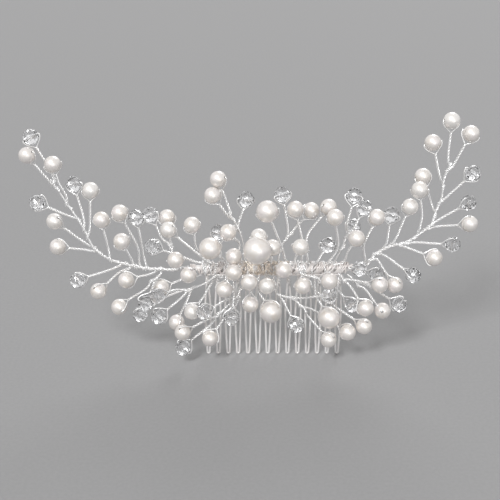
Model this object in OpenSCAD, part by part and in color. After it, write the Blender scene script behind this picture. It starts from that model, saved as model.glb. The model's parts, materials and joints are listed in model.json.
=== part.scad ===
// Decorative hair comb: a bent-wire comb whose rail carries sprays of pearls and cut crystals.
// Every bead hangs in a wire loop that runs through its hole, and the two legs of the loop twist
// together into the stem that joins its neighbours on the way to the rail.
// Frame: X along the rail, Z up, teeth down, -Y towards the viewer, origin at the middle of the rail.

/* [Comb] */
// Length of the top rail
rail_len = 58; // [54:1:80]
// Diameter of the top rail
rail_d = 2.2; // [1.8:0.1:2.6]
// Number of teeth
tooth_count = 14; // [6:1:14]
// Distance from one tooth to the next
tooth_pitch = 3.75; // [3.2:0.05:4]
// Length of a tooth from the rail's centre to its tip
tooth_len = 36; // [28:0.5:48]
// Diameter of the wire that the teeth are bent from
tooth_wire_d = 0.8; // [0.6:0.05:0.95]
// Length of the twisted neck under the rail
neck_len = 4.5; // [3.5:0.1:6]
// Widest distance between the two legs of a tooth, centre to centre
leg_spread = 2; // [1.8:0.1:2.2]
// Distance between the two legs at the tip, centre to centre
tip_spread = 1.1; // [1:0.1:1.4]

/* [Binding] */
// Diameter of the binding wire on the rail
bind_wire_d = 0.5; // [0.3:0.05:0.6]
// Number of turns of binding wire between two teeth
bind_turns = 3; // [1:1:3]
// Number of turns that hold a wing stem to the end of the rail
end_turns = 5; // [3:1:6]

/* [Beads] */
// Diameter of a pearl
pearl_d = 6; // [4.5:0.1:6]
// Diameter of a big accent pearl
big_pearl_d = 8; // [6:0.1:8]
// Diameter of the pearl at the centre
centre_pearl_d = 10; // [8:0.1:10]
// Diameter of a crystal at its girdle
crystal_d = 6; // [4.5:0.1:6]
// Length of a crystal along its hole
crystal_len = 5; // [4:0.1:5]
// Diameter of the flat at each end of a crystal
crystal_flat_d = 3; // [2.4:0.1:3.4]
// Height of the girdle band of a crystal
girdle_h = 0.6; // [0.3:0.1:0.8]
// Number of facets around a crystal
crystal_facets = 10; // [8:1:12]
// Diameter of the hole in a pearl or a crystal
bore_d = 0.9; // [0.7:0.05:1.1]

/* [Wire] */
// Diameter of the wire that runs through the beads
wire_d = 0.5; // [0.3:0.02:0.56]
// Radial clearance between an accent pearl's hole and its wire
turn_gap = 0.08; // [0.03:0.01:0.1]
// Diameter of a wing stem at its tip
wing_tip_d = 1; // [0.8:0.05:1.2]
// Diameter of a wing stem at the rail
wing_root_d = 1.8; // [1.4:0.05:2]
// Diameter of a branch that carries several beads
branch_d = 1; // [0.8:0.05:1.2]

/* [Hidden] */

// Roundness of drilled and turned shapes
$fn = 32;
// Hairline between two wires that lie against each other
touch = 0.03;
// Distance from the rail's centre to its end
half_rail = rail_len / 2;
// Radius of the wire through the beads, and of two of them twisted together
wire_r = wire_d / 2;
pair_r = wire_d;
// Radius of the rail with the wire that is wound on it
eye_r = rail_d / 2 + touch + tooth_wire_d / 2;
spine_r = eye_r + tooth_wire_d / 2 + touch;
// Room between a bead and the wire that hugs it
hug = 0.15;
// Length of bare wire between a bead and the first twist
twist_gap = 1.1;
// Number of sides of a swept stem and of a swept bead wire
stem_sides = 8;
wire_sides = 6;
// Radius of a branch at its tip, as a share of that at its foot
branch_taper = 0.8;
// Where a bead's wire bends in towards its hole, as a share of the bead's diameter
pearl_bend = 0.42;
crystal_bend = 0.31;
// How far past the twist the first and the second leg of a bead's wire start, and how far apart
first_lead = 0.06;
second_lead = 0.16;
leg_part = 1.1;
// A ball that fills the bend between two rods, as a share of their radius
bend_ball = 1.03;
loop_ball = 1.15;
// Radius of a tooth's neck in wire radii, and of its knots in neck radii
neck_share = 1.8;
knot_share = 1.3;
// Share of a tooth's legs that lies above their widest place
belly_share = 0.4;

// Kinds of bead
PEARL = 0;
CRYSTAL = 1;
BIG = 2;
CENTRE = 3;

// ---- vectors ----
function unit(v) = v / norm(v);
function mix(a, b, t) = a + (b - a) * t;
function flip(p, side) = [side * (half_rail + p.x), p.y, p.z];

// ---- stems: [points, radius at the start, radius at the end] ----
function stem_index(stem, s) = max(0, min(len(stem[0]) - 2, floor(s)));
function stem_at(stem, s) =
    let (i = stem_index(stem, s)) mix(stem[0][i], stem[0][i + 1], s - i);
function stem_way(stem, s) =
    let (i = stem_index(stem, s)) unit(stem[0][i + 1] - stem[0][i]);
function stem_r(stem, s) =
    mix(stem[1], stem[2], max(0, min(1, s / (len(stem[0]) - 1))));

// The place beside a stem where a wire of radius r leaves it towards a point
function foot(stem, s, target, r) =
    let (base = stem_at(stem, s),
        way = stem_way(stem, s),
        lean = unit(target - base),
        out = unit(lean - way * (lean * way)))
    base + out * (stem_r(stem, s) + r * abs(lean * way) + touch);

// A branch that starts beside another stem
function branch(stem, s, points) =
    [concat([foot(stem, s, points[0], branch_d / 2)], points), branch_d / 2, branch_taper * branch_d / 2];

// ---- the routes of the stems, chosen by hand ----
spine = [[[0, 0, 0], [1, 0, 0]], spine_r, spine_r];

left_stem_points = [[51, 3, 33.5], [46, 2, 25.5], [42.5, 1, 20], [39.5, 0, 15], [36.5, -1, 8.5],
    [31, -1, 4], [25, -1, 2], [19, -1, 0.5], [12.5, -1, 0], [7, -0.5, -0.5], [4.5, 0, 0],
    [touch, 0, 0]];
right_stem_points = [[34, 3, 40], [31.5, 2, 33.5], [31, 1, 27], [29, 0, 22], [27.5, -1, 17.5],
    [23.5, -1, 14], [18.5, -1, 10.5], [13, -1, 9], [8, -1, 6], [5.5, -0.5, 2], [4, 0, 0],
    [touch, 0, 0]];
left_stem = [[for (p = left_stem_points) flip(p, -1)], wing_tip_d / 2, wing_root_d / 2];
right_stem = [[for (p = right_stem_points) flip(p, 1)], wing_tip_d / 2, wing_root_d / 2];

left_low_branch = branch(left_stem, 8.1, [flip([13.5, -1.5, -3], -1), flip([16.5, -2.5, -5], -1)]);
left_high_branch = branch(left_stem, 9.2, [flip([8, -0.5, 6.5], -1), flip([10, 0.5, 10.5], -1)]);
crown_left_branch = branch(spine, -10.5, [[-11.5, 0, 11.5], [-13.5, 0, 17], [-16.5, 0, 22]]);
crown_right_branch = branch(spine, 1.5, [[3, 0.5, 9], [6.5, 0, 14.5]]);
right_high_branch = branch(spine, 22, [[25, -2, 10], [27, -1, 15.5]]);
right_front_branch = branch(spine, 24, [[26.5, -4.5, -3.5]]);
right_low_branch = branch(spine, 27, [[30, -3, -4], [32, -4, -6]]);
centre_branch = branch(spine, 0, [[1, -5, -7.5], [7, -5.5, -10], [12.5, -6.5, -15]]);
left_fan_branch = branch(spine, -10.5, [[-12, -4, -7], [-18, -5.5, -14], [-22, -7, -17.5]]);
left_skirt_branch = branch(spine, -20.5, [[-24, -3, -4], [-30, -3, -7], [-33, -3, -8.5]]);

// ---- the beads, chosen by hand: [kind, place, stem, station on it, turn of the hole, way points] ----
// A wing's places are measured outwards from the end of the rail, the others from its middle.
function out_from(side, rows) =
    [for (b = rows) [b[0], flip(b[1], side), b[2], b[3], b[4], [for (p = b[5]) flip(p, side)]]];

left_wing_beads = out_from(-1, [
    [CRYSTAL, [57.5, 6, 48.5], left_stem, 0.1, 10, []],
    [PEARL, [58.5, 2, 43], left_stem, 0.2, -15, []],
    [PEARL, [49.5, 1, 40], left_stem, 1, 20, [[48, 1.5, 33]]],
    [CRYSTAL, [43, 4, 31.5], left_stem, 2.7, -10, []],
    [PEARL, [36.5, 0, 30.5], left_stem, 3.2, 25, []],
    [CRYSTAL, [56, 1, 25.5], left_stem, 2, 15, []],
    [PEARL, [50, -1, 19], left_stem, 3.8, -20, []],
    [PEARL, [49.5, -1, 9], left_stem, 4.1, 10, [[40, -1.5, 8]]],
    [PEARL, [33, -2, 20], left_stem, 4.9, -5, []],
    [PEARL, [26, -4, 23.5], left_stem, 6.8, 30, [[20, -2.5, 8]]],
    [CRYSTAL, [20.5, -1, 20.5], left_stem, 7.2, -15, []],
    [PEARL, [26, -3, 12], left_stem, 6.4, 30, []],
    [CRYSTAL, [43, -2, -4], left_stem, 5.7, 0, []],
    [PEARL, [35.5, -3, -8], left_stem, 6.3, -25, [[27, -0.5, -1]]],
    [PEARL, [25, -3, -3.5], left_stem, 7.7, 20, []],
    [PEARL, [28, -4, -14], left_low_branch, 2, 80, []],
    [CRYSTAL, [18, -5, -12], left_low_branch, 1.6, 10, []]]);

left_shoulder_beads = concat(out_from(-1, [
    [CRYSTAL, [16, 4, 19.5], left_high_branch, 2, -10, []],
    [PEARL, [10, 5, 18], left_high_branch, 1.5, 20, []],
    [PEARL, [6.5, -6, 6], left_stem, 9.6, 0, []]]), [
    [PEARL, [-38, -3, 16.5], spine, -22.5, -15, [[-27.5, -3, 7]]],
    [CRYSTAL, [-half_rail - 15, -2, 9.5], spine, 3 - half_rail, 10, [[-half_rail - 3.5, -1, 4.5]]],
    [PEARL, [-29.5, -2, 18], spine, -23.5, 25, [[-28, -0.5, 8]]],
    [BIG, [-23, -6, 10.5], spine, -17, 10, []]]);

crown_beads = [
    [PEARL, [-22, -1, 29], crown_left_branch, 2.8, 10, []],
    [PEARL, [-20, 2, 34], crown_left_branch, 3, -20, []],
    [CRYSTAL, [-10, -1, 27.5], crown_left_branch, 2, 15, []],
    [CRYSTAL, [-20, 2, 13.5], spine, -19, -10, []],
    [PEARL, [-16.5, -4, 16], spine, -13, 30, [[-12.5, -1.5, 10.5]]],
    [PEARL, [-14.5, -4, 6.5], spine, -15, -25, []],
    [BIG, [-2.5, -4, 24], spine, 4.5, 0, [[0.5, -2, 15.5]]],
    [PEARL, [-5.5, -1, 13], spine, -6, 15, []],
    [CENTRE, [-6, -10, 11.5], spine, -4, 5, []],
    [PEARL, [-0.5, -4, 10], spine, -1, -15, []],
    [CRYSTAL, [3, 0, 29], crown_right_branch, 1.8, 20, []],
    [PEARL, [7.5, -3, 24.5], spine, 10, 10, [[10, -3, 13]]],
    [PEARL, [13.5, 2, 22], crown_right_branch, 2, -20, []],
    [PEARL, [19.5, -1, 24.5], spine, 12.5, 25, [[12, -1, 13]]],
    [PEARL, [9.5, -7, 11.5], spine, 6.5, -10, []],
    [CRYSTAL, [19.5, -4, 11], spine, 15, 5, []],
    [PEARL, [-14.5, -8, 2], spine, -13, 20, []],
    [PEARL, [3.5, -7, 2.5], spine, 3, -20, []]];

right_shoulder_beads = concat([
    [PEARL, [21.5, -7, 23], spine, 20, 10, [[23, -3.5, 9.5]]],
    [CRYSTAL, [29, 4, 27], right_high_branch, 2, -15, []],
    [CRYSTAL, [32.5, -0.5, 24], right_high_branch, 1.8, 20, []],
    [CRYSTAL, [29, 3, 15.5], right_high_branch, 1.1, 0, []],
    [PEARL, [29.5, -6, 14.5], spine, 24.5, -25, [[27, -4, 9]]],
    [CRYSTAL, [31, -6, 2.5], spine, 27.5, 30, []]], out_from(1, [
    [PEARL, [7.5, -4.5, 22], right_stem, 9, 15, [[3.5, -3, 10.5]]],
    [CRYSTAL, [9, -1, -2], right_stem, 10, 10, []]]));

right_wing_beads = out_from(1, [
    [PEARL, [33.5, 6, 54.5], right_stem, 0.1, 15, []],
    [PEARL, [40.5, 5, 50], right_stem, 0.2, -20, []],
    [PEARL, [27, 4, 47], right_stem, 1, 10, []],
    [CRYSTAL, [42, 3, 36], right_stem, 2, -10, []],
    [PEARL, [24.5, 5, 34], right_stem, 2.9, 25, []],
    [PEARL, [22.5, -2, 31.5], right_stem, 4.9, -15, [[24, -1.5, 21]]],
    [CRYSTAL, [41, 2, 25], right_stem, 3.8, 20, []],
    [PEARL, [41.5, -1, 18], right_stem, 4.1, -5, []],
    [CRYSTAL, [36, -1, 10], right_stem, 5.8, 15, []],
    [PEARL, [29.5, -2, 5], right_stem, 6.2, -25, []],
    [PEARL, [19.5, -2, 25], right_stem, 6.8, 10, []],
    [CRYSTAL, [13, -2, 22], right_stem, 7.2, -20, []],
    [PEARL, [15.5, -4, -5], right_stem, 8.3, 30, [[11.5, -2.5, 0]]],
    [CRYSTAL, [22, -3, -1.5], right_stem, 7.7, 90, []]]);

right_skirt_beads = [
    [PEARL, [38.5, -7, -3.5], right_front_branch, 0.8, 10, []],
    [PEARL, [33.5, -9, -12], right_front_branch, 1, -15, []],
    [CRYSTAL, [29, -5, -12.5], spine, 19, 20, [[24, -3.5, -8]]],
    [PEARL, [40, -7, -14], right_low_branch, 2, 75, []],
    [CRYSTAL, [46.5, -4, -13], right_low_branch, 1.4, -10, []],
    [PEARL, [33.5, -7, -20.5], spine, 11.5, 15, [[14, -2, -6.5], [22.5, -3, -14]]],
    [PEARL, [20, -9, -1], spine, 9.5, -20, [[14, -5, -1]]]];

centre_skirt_beads = [
    [PEARL, [-9, -9, -1.5], spine, -9.5, 20, []],
    [PEARL, [-2.5, -8, -3.5], spine, -3, -10, []],
    [PEARL, [10.5, -7, -4], spine, 10.5, 15, []],
    [PEARL, [-8.5, -7, -11.5], spine, -7.5, -25, []],
    [BIG, [-1, -9, -13.5], spine, -5, 0, [[-5.5, -4.5, -7]]],
    [CRYSTAL, [8.5, -7, -20], centre_branch, 1.2, 10, []],
    [CRYSTAL, [20.5, -6, -8.5], centre_branch, 2, 60, []],
    [PEARL, [20.5, -8, -25.5], centre_branch, 3, 25, []],
    [PEARL, [27.5, -8, -22.5], centre_branch, 2.7, -15, [[19, -2, -19]]],
    [BIG, [20.5, -7, -17], spine, 15, 10, [[15.5, -4.5, -9]]]];

left_skirt_beads = [
    [PEARL, [-18, -8, -5], spine, -17, 10, []],
    [CRYSTAL, [-15.5, -8, -16.5], spine, -14.5, -15, [[-14.5, -6.5, -6.5]]],
    [PEARL, [-23.5, -8, -25], left_fan_branch, 1.2, 20, [[-18.5, -4.5, -19]]],
    [CRYSTAL, [-25.5, -9, -13.5], left_fan_branch, 1.5, 5, []],
    [PEARL, [-33.5, -9, -22], left_fan_branch, 3, -20, []],
    [CRYSTAL, [-33.5, -8, -29], left_fan_branch, 2.8, 15, []],
    [PEARL, [-30, -5, -15.5], spine, -18.5, 25, [[-26, -4.5, -10]]],
    [PEARL, [-31, -6, 0], spine, -28, -10, []],
    [PEARL, [-41.5, 0, -8], spine, -26.5, 20, [[-34, -0.5, -4.5]]],
    [CRYSTAL, [-42.5, -7, -8], left_skirt_branch, 2.7, -5, [[-37, -5.5, -6.5]]],
    [CRYSTAL, [-42.5, -5, -17.5], left_skirt_branch, 3, 15, []],
    [PEARL, [-36, -3, -21], left_skirt_branch, 2.3, 80, []],
    [CRYSTAL, [-49.5, -2, -18], left_skirt_branch, 2.9, -20, [[-40, -2, -11]]]];

// ---- what a bead and its wire are worked out from ----
function bead_d(b) =
    b[0] == PEARL ? pearl_d : b[0] == CRYSTAL ? crystal_d : b[0] == BIG ? big_pearl_d : centre_pearl_d;
function is_accent(b) = b[0] == BIG || b[0] == CENTRE;
// Half the length of the hole
function half_hole(b) = b[0] == CRYSTAL ? crystal_len / 2 : bead_d(b) / 2;
function start_of(b) = len(b[5]) > 0 ? b[5][0] : b[1];
function wire_start(b) = foot(b[2], b[3], start_of(b), pair_r);
// The way in which the stem runs into the bead
function bead_way(b) =
    unit(b[1] - (len(b[5]) > 0 ? b[5][len(b[5]) - 1] : wire_start(b)));
// The way of the hole, square to the stem and turned about it
function hole_way(b) =
    let (way = bead_way(b),
        side = unit(cross(way, [0, 1, 0.2])),
        front = cross(way, side))
    side * cos(b[4]) + front * sin(b[4]);
function twist_point(b) = b[1] - bead_way(b) * (bead_d(b) / 2 + twist_gap);

// The bead wire: up the stem, round one side, through the hole, back down the other side
function loop_points(b) =
    let (c = b[1], way = bead_way(b), hole = hole_way(b), twist = twist_point(b),
        reach = half_hole(b) + wire_r + 2 * hug,
        low = b[0] == CRYSTAL ? crystal_bend * bead_d(b) : pearl_bend * bead_d(b) + hug,
        wide = b[0] == CRYSTAL ? half_hole(b) + hug + wire_r : low)
    [twist + way * first_lead + hole * leg_part * wire_r,
        c - way * low + hole * wide,
        c + hole * reach,
        c - hole * reach,
        c - way * low - hole * wide,
        twist + way * second_lead - hole * leg_part * wire_r];
function stem_points(b) = concat([wire_start(b)], b[5], [twist_point(b)]);

// ---- sweeping ----
function ring_way(points, i) =
    let (n = len(points) - 1)
    i == 0 ? unit(points[1] - points[0]) :
    i == n ? unit(points[n] - points[n - 1]) :
    unit(unit(points[i] - points[i - 1]) + unit(points[i + 1] - points[i]));
function ring(centre, way, r, sides, ref) =
    let (u = unit(cross(way, ref)), v = cross(way, u))
    [for (k = [0 : sides - 1]) centre + r * (u * cos(360 * k / sides) + v * sin(360 * k / sides))];

module sweep(points, radii, sides, ref) {
    rings = [for (i = [0 : len(points) - 1])
        each ring(points[i], ring_way(points, i), radii[i], sides, ref)];
    last = len(points) - 1;
    walls = [for (i = [0 : last - 1], k = [0 : sides - 1])
        let (a = i * sides + k, b = i * sides + (k + 1) % sides)
        each [[a, a + sides, b], [b, a + sides, b + sides]]];
    caps = [[for (k = [0 : sides - 1]) k], [for (k = [sides - 1 : -1 : 0]) last * sides + k]];
    polyhedron(points = rings, faces = concat(walls, caps));
}

module stem(route) {
    points = route[0];
    sweep(points, [for (i = [0 : len(points) - 1]) stem_r(route, i)], stem_sides, [0.1, 1, 0.3]);
}

// ---- one bead and one wire ----
module aim(place, way) {
    translate(place) rotate([0, acos(way.z), atan2(way.y, way.x)]) children();
}

module pearl(d, hole_d) {
    difference() {
        sphere(d = d);
        cylinder(d = hole_d, h = 2 * d, center = true);
    }
}

module crystal() {
    difference() {
        rotate_extrude($fn = crystal_facets)
            polygon([[0, -crystal_len / 2], [crystal_flat_d / 2, -crystal_len / 2],
                [crystal_d / 2, -girdle_h / 2], [crystal_d / 2, girdle_h / 2],
                [crystal_flat_d / 2, crystal_len / 2], [0, crystal_len / 2]]);
        cylinder(d = bore_d, h = 2 * crystal_len, center = true);
    }
}

module bead_wire(b) {
    up = stem_points(b);
    round = loop_points(b);
    radii = concat([for (p = up) pair_r], [for (p = round) wire_r]);
    sweep(concat(up, round), radii, wire_sides, cross(bead_way(b), hole_way(b)));
}

// Radius at which an accent pearl's wire goes round it
function accent_ring_r(b) = bead_d(b) / 2 + hug + wire_r;

module accent_stem(b) {
    way = bead_way(b);
    finish = b[1] - way * (accent_ring_r(b) + wire_r + touch);
    points = concat([wire_start(b)], b[5], [finish]);
    sweep(points, [for (p = points) pair_r], wire_sides, cross(way, hole_way(b)));
}

// The wire of an accent pearl: a straight pin through the hole, closed by a half ring round the stem side
module accent_loop(b) {
    way = bead_way(b);
    hole = hole_way(b);
    side = cross(way, hole);
    ring_r = accent_ring_r(b);
    aim(b[1], hole) cylinder(r = wire_r, h = 2 * ring_r, center = true);
    for (end = [-1, 1])
        translate(b[1] + hole * end * ring_r) sphere(r = loop_ball * wire_r);
    multmatrix([[hole.x, -way.x, side.x, b[1].x], [hole.y, -way.y, side.y, b[1].y],
        [hole.z, -way.z, side.z, b[1].z], [0, 0, 0, 1]])
        rotate_extrude(angle = 180) translate([ring_r, 0]) circle(r = wire_r);
}

module pearls(beads) {
    color("ivory") for (b = beads) if (b[0] == PEARL) aim(b[1], hole_way(b)) pearl(pearl_d, bore_d);
}

module crystals(beads) {
    color("azure") for (b = beads) if (b[0] == CRYSTAL) aim(b[1], hole_way(b)) crystal();
}

module wires(beads, branches) {
    color("silver") {
        for (b = beads) if (is_accent(b)) accent_stem(b); else bead_wire(b);
        for (route = branches) stem(route);
    }
}

module accent_pearl(b) {
    color("ivory") aim(b[1], hole_way(b)) pearl(bead_d(b), wire_d + 2 * turn_gap);
}

function accents(beads) = [for (b = beads) if (is_accent(b)) b];

// ---- the comb ----
module rod(a, b, r) {
    aim(a, unit(b - a)) cylinder(r = r, h = norm(b - a));
}

// One tooth: an eye round the rail, a knotted neck, and a hairpin of two legs that meet in a round tip
module tooth() {
    r = tooth_wire_d / 2;
    neck_r = neck_share * r;
    top = -spine_r;
    split = top - neck_len;
    tip = -tooth_len + r + tip_spread / 2;
    belly = mix(split, tip, belly_share);
    rotate([0, 90, 0]) rotate_extrude() translate([eye_r, 0]) circle(r = r);
    rod([0, 0, top + r], [0, 0, split], neck_r);
    for (k = [0 : 2])
        translate([0, 0, mix(top - r, split, k / 2)]) sphere(r = knot_share * neck_r);
    for (side = [-1, 1]) {
        start = [side * (r + touch / 2), 0, split];
        middle = [side * leg_spread / 2, 0, belly];
        finish = [side * tip_spread / 2, 0, tip];
        rod(start, middle, r);
        translate(middle) sphere(r = bend_ball * r);
        rod(middle, finish, r);
        translate(finish) sphere(r = bend_ball * r);
    }
    translate([0, 0, tip]) rotate([-90, 0, 0])
        rotate_extrude(angle = 180) translate([tip_spread / 2, 0]) circle(r = r);
}

function tooth_x(i) = (i - (tooth_count - 1) / 2) * tooth_pitch;

module tooth_wires() {
    color("silver") for (i = [0 : tooth_count - 1]) translate([tooth_x(i), 0, 0]) tooth();
}

module top_rail() {
    color("gainsboro") rotate([0, 90, 0]) cylinder(d = rail_d, h = rail_len, center = true);
}

// One turn of binding wire round the rail
module turn(x, r) {
    translate([x, 0, 0]) rotate([0, 90, 0]) rotate_extrude() translate([r, 0]) circle(d = bind_wire_d);
}

module rail_binding() {
    ring_r = rail_d / 2 + touch + bind_wire_d / 2;
    step = bind_wire_d + touch;
    color("silver") for (i = [0 : tooth_count - 2], k = [0 : bind_turns - 1])
        turn((tooth_x(i) + tooth_x(i + 1)) / 2 + (k - (bind_turns - 1) / 2) * step, ring_r);
}

// The turns that hold each wing stem against the end of the rail
module end_bindings() {
    ring_r = rail_d / 2 + touch + bind_wire_d / 2;
    step = bind_wire_d + touch;
    color("silver") for (side = [-1, 1], k = [0 : end_turns - 1])
        turn(side * (half_rail + (k - 1) * step), ring_r);
}

module left_wing_stem() { color("silver") stem(left_stem); }
module right_wing_stem() { color("silver") stem(right_stem); }

module left_wing_wires() { wires(left_wing_beads, [left_low_branch]); }
module left_wing_pearls() { pearls(left_wing_beads); }
module left_wing_crystals() { crystals(left_wing_beads); }

module left_shoulder_wires() { wires(left_shoulder_beads, [left_high_branch]); }
module left_shoulder_pearls() { pearls(left_shoulder_beads); }
module left_shoulder_crystals() { crystals(left_shoulder_beads); }

module crown_wires() { wires(crown_beads, [crown_left_branch, crown_right_branch]); }
module crown_pearls() { pearls(crown_beads); }
module crown_crystals() { crystals(crown_beads); }

module right_shoulder_wires() { wires(right_shoulder_beads, [right_high_branch]); }
module right_shoulder_pearls() { pearls(right_shoulder_beads); }
module right_shoulder_crystals() { crystals(right_shoulder_beads); }

module right_wing_wires() { wires(right_wing_beads, []); }
module right_wing_pearls() { pearls(right_wing_beads); }
module right_wing_crystals() { crystals(right_wing_beads); }

module right_skirt_wires() { wires(right_skirt_beads, [right_front_branch, right_low_branch]); }
module right_skirt_pearls() { pearls(right_skirt_beads); }
module right_skirt_crystals() { crystals(right_skirt_beads); }

module centre_skirt_wires() { wires(centre_skirt_beads, [centre_branch]); }
module centre_skirt_pearls() { pearls(centre_skirt_beads); }
module centre_skirt_crystals() { crystals(centre_skirt_beads); }

module left_skirt_wires() { wires(left_skirt_beads, [left_fan_branch, left_skirt_branch]); }
module left_skirt_pearls() { pearls(left_skirt_beads); }
module left_skirt_crystals() { crystals(left_skirt_beads); }

module accent_loops() {
    color("silver")
        for (beads = [left_shoulder_beads, crown_beads, centre_skirt_beads], b = accents(beads))
            accent_loop(b);
}
module centre_pearl() { accent_pearl(accents(crown_beads)[1]); }
module crown_accent_pearl() { accent_pearl(accents(crown_beads)[0]); }
module shoulder_accent_pearl() { accent_pearl(accents(left_shoulder_beads)[0]); }
module left_skirt_accent_pearl() { accent_pearl(accents(centre_skirt_beads)[0]); }
module right_skirt_accent_pearl() { accent_pearl(accents(centre_skirt_beads)[1]); }

tooth_wires();
top_rail();
rail_binding();
end_bindings();
left_wing_stem();
right_wing_stem();
left_wing_wires();
left_wing_pearls();
left_wing_crystals();
left_shoulder_wires();
left_shoulder_pearls();
left_shoulder_crystals();
crown_wires();
crown_pearls();
crown_crystals();
right_shoulder_wires();
right_shoulder_pearls();
right_shoulder_crystals();
right_wing_wires();
right_wing_pearls();
right_wing_crystals();
right_skirt_wires();
right_skirt_pearls();
right_skirt_crystals();
centre_skirt_wires();
centre_skirt_pearls();
centre_skirt_crystals();
left_skirt_wires();
left_skirt_pearls();
left_skirt_crystals();
accent_loops();
centre_pearl();
crown_accent_pearl();
shoulder_accent_pearl();
left_skirt_accent_pearl();
right_skirt_accent_pearl();
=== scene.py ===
"""Looks of a bridal hair comb: pearls and cut crystals hung in twisted silver wire along a bent-wire comb.

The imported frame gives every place. Each bead, stem and tooth is found again in the frame's solids, and the
real wirework is then made along it: two strands twisted into a stem, opened round a bead and run through
its hole.
"""

import json
import logging
import math
from abc import ABC, abstractmethod
from dataclasses import dataclass, field
from enum import Enum
from typing import Iterable

import bmesh
import bpy
from mathutils import Matrix, Vector, geometry, noise


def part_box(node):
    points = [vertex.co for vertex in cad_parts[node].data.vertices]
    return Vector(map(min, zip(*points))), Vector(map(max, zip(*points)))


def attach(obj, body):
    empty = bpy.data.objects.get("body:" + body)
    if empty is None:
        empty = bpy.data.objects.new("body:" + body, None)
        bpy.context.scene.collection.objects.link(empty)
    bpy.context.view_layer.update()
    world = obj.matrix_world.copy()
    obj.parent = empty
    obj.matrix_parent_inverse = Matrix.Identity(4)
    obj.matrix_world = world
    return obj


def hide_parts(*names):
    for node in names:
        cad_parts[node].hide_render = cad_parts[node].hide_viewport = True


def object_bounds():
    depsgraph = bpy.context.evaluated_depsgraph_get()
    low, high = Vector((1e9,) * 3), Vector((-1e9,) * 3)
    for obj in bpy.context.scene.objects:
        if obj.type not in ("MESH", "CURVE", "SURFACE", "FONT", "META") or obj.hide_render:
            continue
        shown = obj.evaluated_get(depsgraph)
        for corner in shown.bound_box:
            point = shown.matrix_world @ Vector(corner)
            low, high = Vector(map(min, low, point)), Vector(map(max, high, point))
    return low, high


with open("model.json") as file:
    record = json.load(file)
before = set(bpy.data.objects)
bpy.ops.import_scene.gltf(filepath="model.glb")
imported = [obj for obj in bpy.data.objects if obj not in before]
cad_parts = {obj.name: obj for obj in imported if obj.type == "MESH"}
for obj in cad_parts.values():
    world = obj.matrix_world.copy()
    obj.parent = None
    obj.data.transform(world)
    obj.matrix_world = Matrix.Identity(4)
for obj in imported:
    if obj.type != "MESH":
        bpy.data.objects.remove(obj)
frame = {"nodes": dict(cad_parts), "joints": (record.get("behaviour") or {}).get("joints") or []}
CAD_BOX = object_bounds()

LOG = logging.getLogger("hair_comb")
MM = 0.001
# Fixes the noise that bends the stems, which would otherwise start anew from the clock in each run
HAND_SEED = 24
COMB_BODY = "comb"
REGIONS = ("left_wing", "left_shoulder", "crown", "right_shoulder", "right_wing", "right_skirt",
           "centre_skirt", "left_skirt")
# Red, green and blue, from 0 to 1
Colour = tuple[float, float, float]
# The attribute that gives each bead a shade of its own
TONE = "tone"
Z_AXIS = Vector((0, 0, 1))

# Vertices of a frame node closer than this are one vertex
WELD = 0.002 * MM
# The same for the seams of a wire that was turned into a mesh
SEAM = 0.0005 * MM
# Two faces of the frame lie in one plane if their normals' dot product is above this
SAME_PLANE = 0.99999
# The corners of a swept solid's end stand at one distance from its middle, within this share of it
ROUND_WITHIN = 0.02
# A traced ring thinner than this belongs to a single wire, a thicker one to a twisted pair
SINGLE_WIRE = 0.3 * MM
# Corners of the two kinds of end face in the frame's swept solids
STEM_SIDES, BUNDLE_SIDES = 6, 8


class Slot(Enum):
    """Material slots of the record, passed with each piece; the finish itself is given as a material."""

    COMB_WIRE = "comb_wire"
    BINDING_WIRE = "binding_wire"
    STEM_WIRE = "stem_wire"
    PEARL = "pearl"
    CRYSTAL = "crystal"


class BeadKind(Enum):
    """What hangs in a wire loop."""

    PEARL = "pearl"
    CRYSTAL = "crystal"
    ACCENT = "accent"


# ---- lines ----


def smooth_line(points: list[Vector], step: float) -> list[Vector]:
    """Rounds a line of knots into a close row of points.

    Args:
        points: the knots that the line runs through, in metres.
        step: longest distance between two points of the result, in metres.

    Returns:
        The points along the rounded line, the first and the last knot included.
    """
    if len(points) < 3:
        pieces = max(1, math.ceil((points[-1] - points[0]).length / step))
        return [points[0].lerp(points[-1], k / pieces) for k in range(pieces + 1)]
    ways = []
    for i in range(len(points)):
        before = points[i] - points[i - 1] if i else points[1] - points[0]
        after = points[i + 1] - points[i] if i + 1 < len(points) else before
        ways.append((before.normalized() + after.normalized()).normalized())
    line = [points[0]]
    for i in range(len(points) - 1):
        start, end = points[i], points[i + 1]
        span = (end - start).length
        pieces = max(2, math.ceil(span / step))
        reach = span / 3
        row = geometry.interpolate_bezier(start, start + ways[i] * reach, end - ways[i + 1] * reach, end,
                                          pieces + 1)
        line += row[1:]
    return line


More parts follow.
